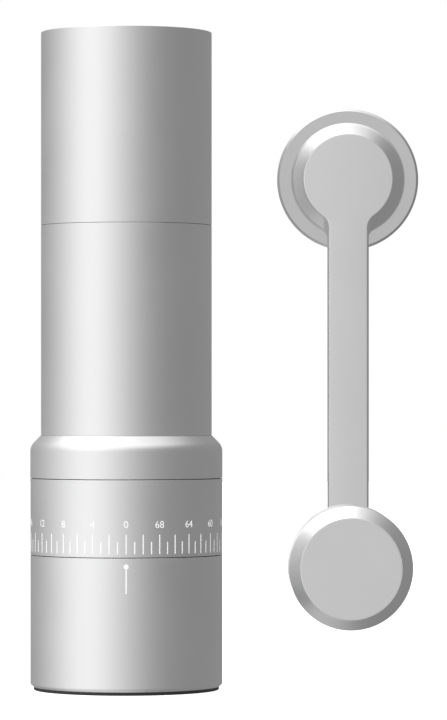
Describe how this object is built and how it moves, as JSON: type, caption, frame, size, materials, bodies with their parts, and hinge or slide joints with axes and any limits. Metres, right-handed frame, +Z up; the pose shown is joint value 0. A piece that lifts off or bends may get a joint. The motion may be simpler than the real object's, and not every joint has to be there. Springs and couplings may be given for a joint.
{
  "type": "hand crank coffee grinder",
  "caption": "Upright cylindrical hand coffee grinder with a stepped grind dial, a magnetic catch cup and a lift-off crank with a round knob.",
  "frame": {"origin": "middle of the rubber foot's underside, on the grinder's axis", "axes": "+Z up along the grinder's axis; -Y is the front with the dial's pointer; the crank hangs on the +X side"},
  "size_m": [0.1193, 0.0637, 0.2],
  "materials": {
    "body_aluminium": "bead-blasted satin, clear anodised",
    "crank_aluminium": "bead-blasted satin, clear anodised",
    "inner_aluminium": "machined",
    "steel": "ground",
    "burr_steel": "hardened, ground edges",
    "magnet_plating": "nickel plated",
    "brass": "machined",
    "bush_polymer": "plain bearing polymer",
    "rubber": "matte"
  },
  "bodies": {
    "cup": {"rubber_foot": "rubber", "catch_cup": "body_aluminium", "cup_magnets": "magnet_plating"},
    "housing": {"base_skirt": "inner_aluminium", "body_magnets": "magnet_plating", "shoulder_collar": "body_aluminium", "inner_tube": "inner_aluminium", "grip_tube": "body_aluminium", "top_sleeve": "body_aluminium", "mouth_ring": "inner_aluminium", "lower_spider": "inner_aluminium", "lower_bearing": "steel", "lower_bearing_clip": "steel", "upper_spider": "inner_aluminium", "upper_bearing": "steel", "upper_bearing_clip": "steel", "spider_screws": "steel", "detent_ball": "steel", "detent_spring": "steel"},
    "shaft": {"drive_shaft": "steel", "shaft_clip": "steel", "inner_burr": "burr_steel", "burr_washer": "steel", "burr_nut": "steel", "preload_spring": "steel"},
    "carrier": {"burr_carrier": "inner_aluminium", "outer_burr": "burr_steel", "guide_pins": "steel"},
    "dial": {"dial_ring": "body_aluminium", "thread_ring": "inner_aluminium", "click_ring": "brass"},
    "lid": {"lid_disc": "crank_aluminium", "lid_seal": "rubber", "lid_bush": "bush_polymer"},
    "crank": {"crank_arm": "crank_aluminium", "drive_socket": "steel", "socket_clip": "steel", "arm_screw": "steel", "knob_axle": "steel", "axle_screw": "steel", "axle_clip": "steel"},
    "knob": {"knob_shell": "crank_aluminium", "knob_cap": "crank_aluminium", "lower_knob_bush": "brass", "upper_knob_bush": "brass"}
  },
  "joints": [
    {"name": "housing_lift", "type": "slide", "parent": "cup", "child": "housing", "axis": [0, 0, 1], "range_m": [0, 0.045]},
    {"name": "dial_turn", "type": "hinge", "parent": "housing", "child": "dial", "pos_m": [0, 0, 0.05], "axis": [0, 0, 1], "range_deg": [0, 345]},
    {"name": "burr_lift", "type": "slide", "parent": "housing", "child": "carrier", "axis": [0, 0, 1], "range_m": [0, 0.00096]},
    {"name": "crank_turn", "type": "hinge", "parent": "housing", "child": "shaft", "pos_m": [0, 0, 0.1], "axis": [0, 0, 1], "continuous": true},
    {"name": "crank_fit", "type": "hinge", "parent": "shaft", "child": "crank", "pos_m": [-0.02912, 0.09759, 0.12641], "axis": [0.5734, -0.5793, 0.5793], "range_deg": [0, 239.66]},
    {"name": "lid_turn", "type": "hinge", "parent": "crank", "child": "lid", "pos_m": [0.06816, 0.02, 0.15654], "axis": [0, -1, 0], "continuous": true},
    {"name": "knob_spin", "type": "hinge", "parent": "crank", "child": "knob", "pos_m": [0.06816, 0, 0.03724], "axis": [0, -1, 0], "continuous": true}
  ],
  "couplings": [
    {"joint": "burr_lift", "follows": "dial_turn", "m_per_rad": 0.00015915},
    {"joint": "lid_turn", "follows": "crank_turn", "ratio": -1}
  ]
}
